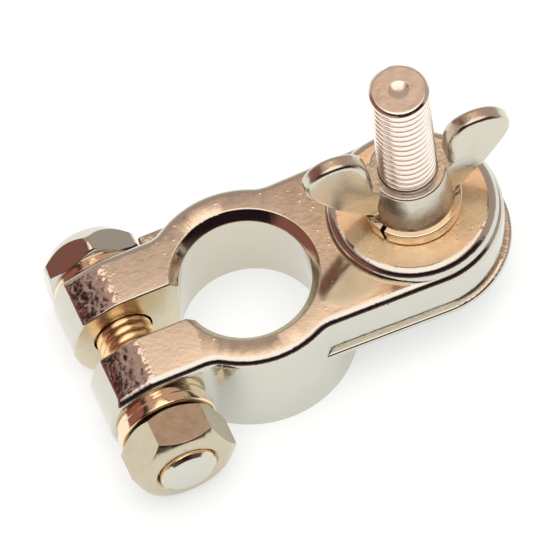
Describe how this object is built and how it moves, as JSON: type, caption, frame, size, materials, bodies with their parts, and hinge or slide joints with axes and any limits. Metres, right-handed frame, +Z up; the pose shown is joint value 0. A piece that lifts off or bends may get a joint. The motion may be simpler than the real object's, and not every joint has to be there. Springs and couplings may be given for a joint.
{
  "type": "battery terminal clamp",
  "caption": "Cast brass clamp for a tapered battery post: split collar closed by a cross bolt, and an arm with an upright threaded stud and a wing nut.",
  "frame": {"origin": "on the axis of the post's bore, at the collar's lower face", "axes": "+Z up along the bore and the stud, +X along the arm to the stud, the clamp bolt along Y"},
  "size_m": [0.0634, 0.0377, 0.0463],
  "materials": {
    "cast_body": "polished",
    "stud_plating": "polished",
    "wing_nut_plating": "satin",
    "bolt_plating": "polished",
    "washer_plating": "satin"
  },
  "bodies": {
    "clamp": {"clamp_body": "cast_body", "terminal_stud": "stud_plating", "clamp_bolt": "bolt_plating", "head_flat_washer": "washer_plating", "nut_flat_washer": "washer_plating"},
    "stud_washer": {"stud_spring_washer": "washer_plating"},
    "wing_nut": {"wing_nut": "wing_nut_plating"},
    "nut_washer": {"nut_spring_washer": "washer_plating"},
    "clamp_nut": {"clamp_nut": "bolt_plating"}
  },
  "joints": [
    {"name": "wing_nut_lift", "type": "slide", "parent": "clamp", "child": "stud_washer", "axis": [0, 0, 1], "range_m": [0, 0.0251]},
    {"name": "wing_nut_spin", "type": "hinge", "parent": "stud_washer", "child": "wing_nut", "pos_m": [0.0244, 0, 0.0193], "axis": [0, 0, 1], "range_deg": [0, 7200]},
    {"name": "clamp_nut_travel", "type": "slide", "parent": "clamp", "child": "nut_washer", "axis": [0, -1, 0], "range_m": [0, 0.0051]},
    {"name": "clamp_nut_spin", "type": "hinge", "parent": "nut_washer", "child": "clamp_nut", "pos_m": [-0.0171, -0.0135, 0.00775], "axis": [0, -1, 0], "range_deg": [0, 1440]}
  ],
  "couplings": [
    {"joint": "wing_nut_lift", "follows": "wing_nut_spin", "m_per_rad": 0.00019894},
    {"joint": "clamp_nut_travel", "follows": "clamp_nut_spin", "m_per_rad": 0.00019894}
  ]
}
